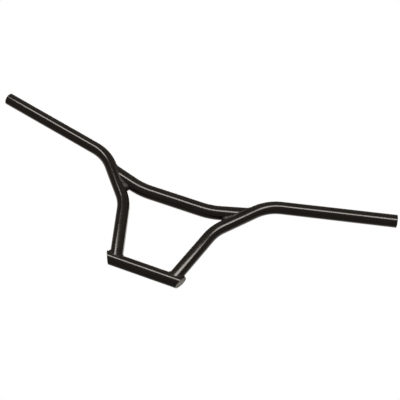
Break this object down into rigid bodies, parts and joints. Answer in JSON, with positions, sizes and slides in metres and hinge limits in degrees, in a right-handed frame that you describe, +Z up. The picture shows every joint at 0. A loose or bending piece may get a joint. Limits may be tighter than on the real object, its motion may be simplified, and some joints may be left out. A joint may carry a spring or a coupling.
{
  "type": "motorcycle handlebar",
  "caption": "Welded steel T-style motorcycle handlebar: a short clamp tube, legs that bend out into swept-back grips, and a thicker bent crossbar, in gloss black.",
  "frame": {"origin": "on the axis of the clamp tube, halfway along it", "axes": "+X along the clamp tube to the rider's right, +Y forward, away from the rider, +Z up the legs towards the grips"},
  "size_m": [0.8528, 0.0521, 0.2858],
  "materials": {
    "tube_coat": "gloss black powder coat on bent steel tube",
    "weld_coat": "gloss black powder coat over rippled weld beads",
    "cap_coat": "gloss black powder coat over a ground flat plug"
  },
  "bodies": {
    "root": {"clamp_tube": "tube_coat", "left_end_cap": "cap_coat", "right_end_cap": "cap_coat", "left_cap_weld": "weld_coat", "right_cap_weld": "weld_coat", "left_bar_tube": "tube_coat", "right_bar_tube": "tube_coat", "left_foot_weld": "weld_coat", "right_foot_weld": "weld_coat", "crossbar_tube": "tube_coat", "left_crossbar_weld": "weld_coat", "right_crossbar_weld": "weld_coat"}
  },
  "joints": []
}
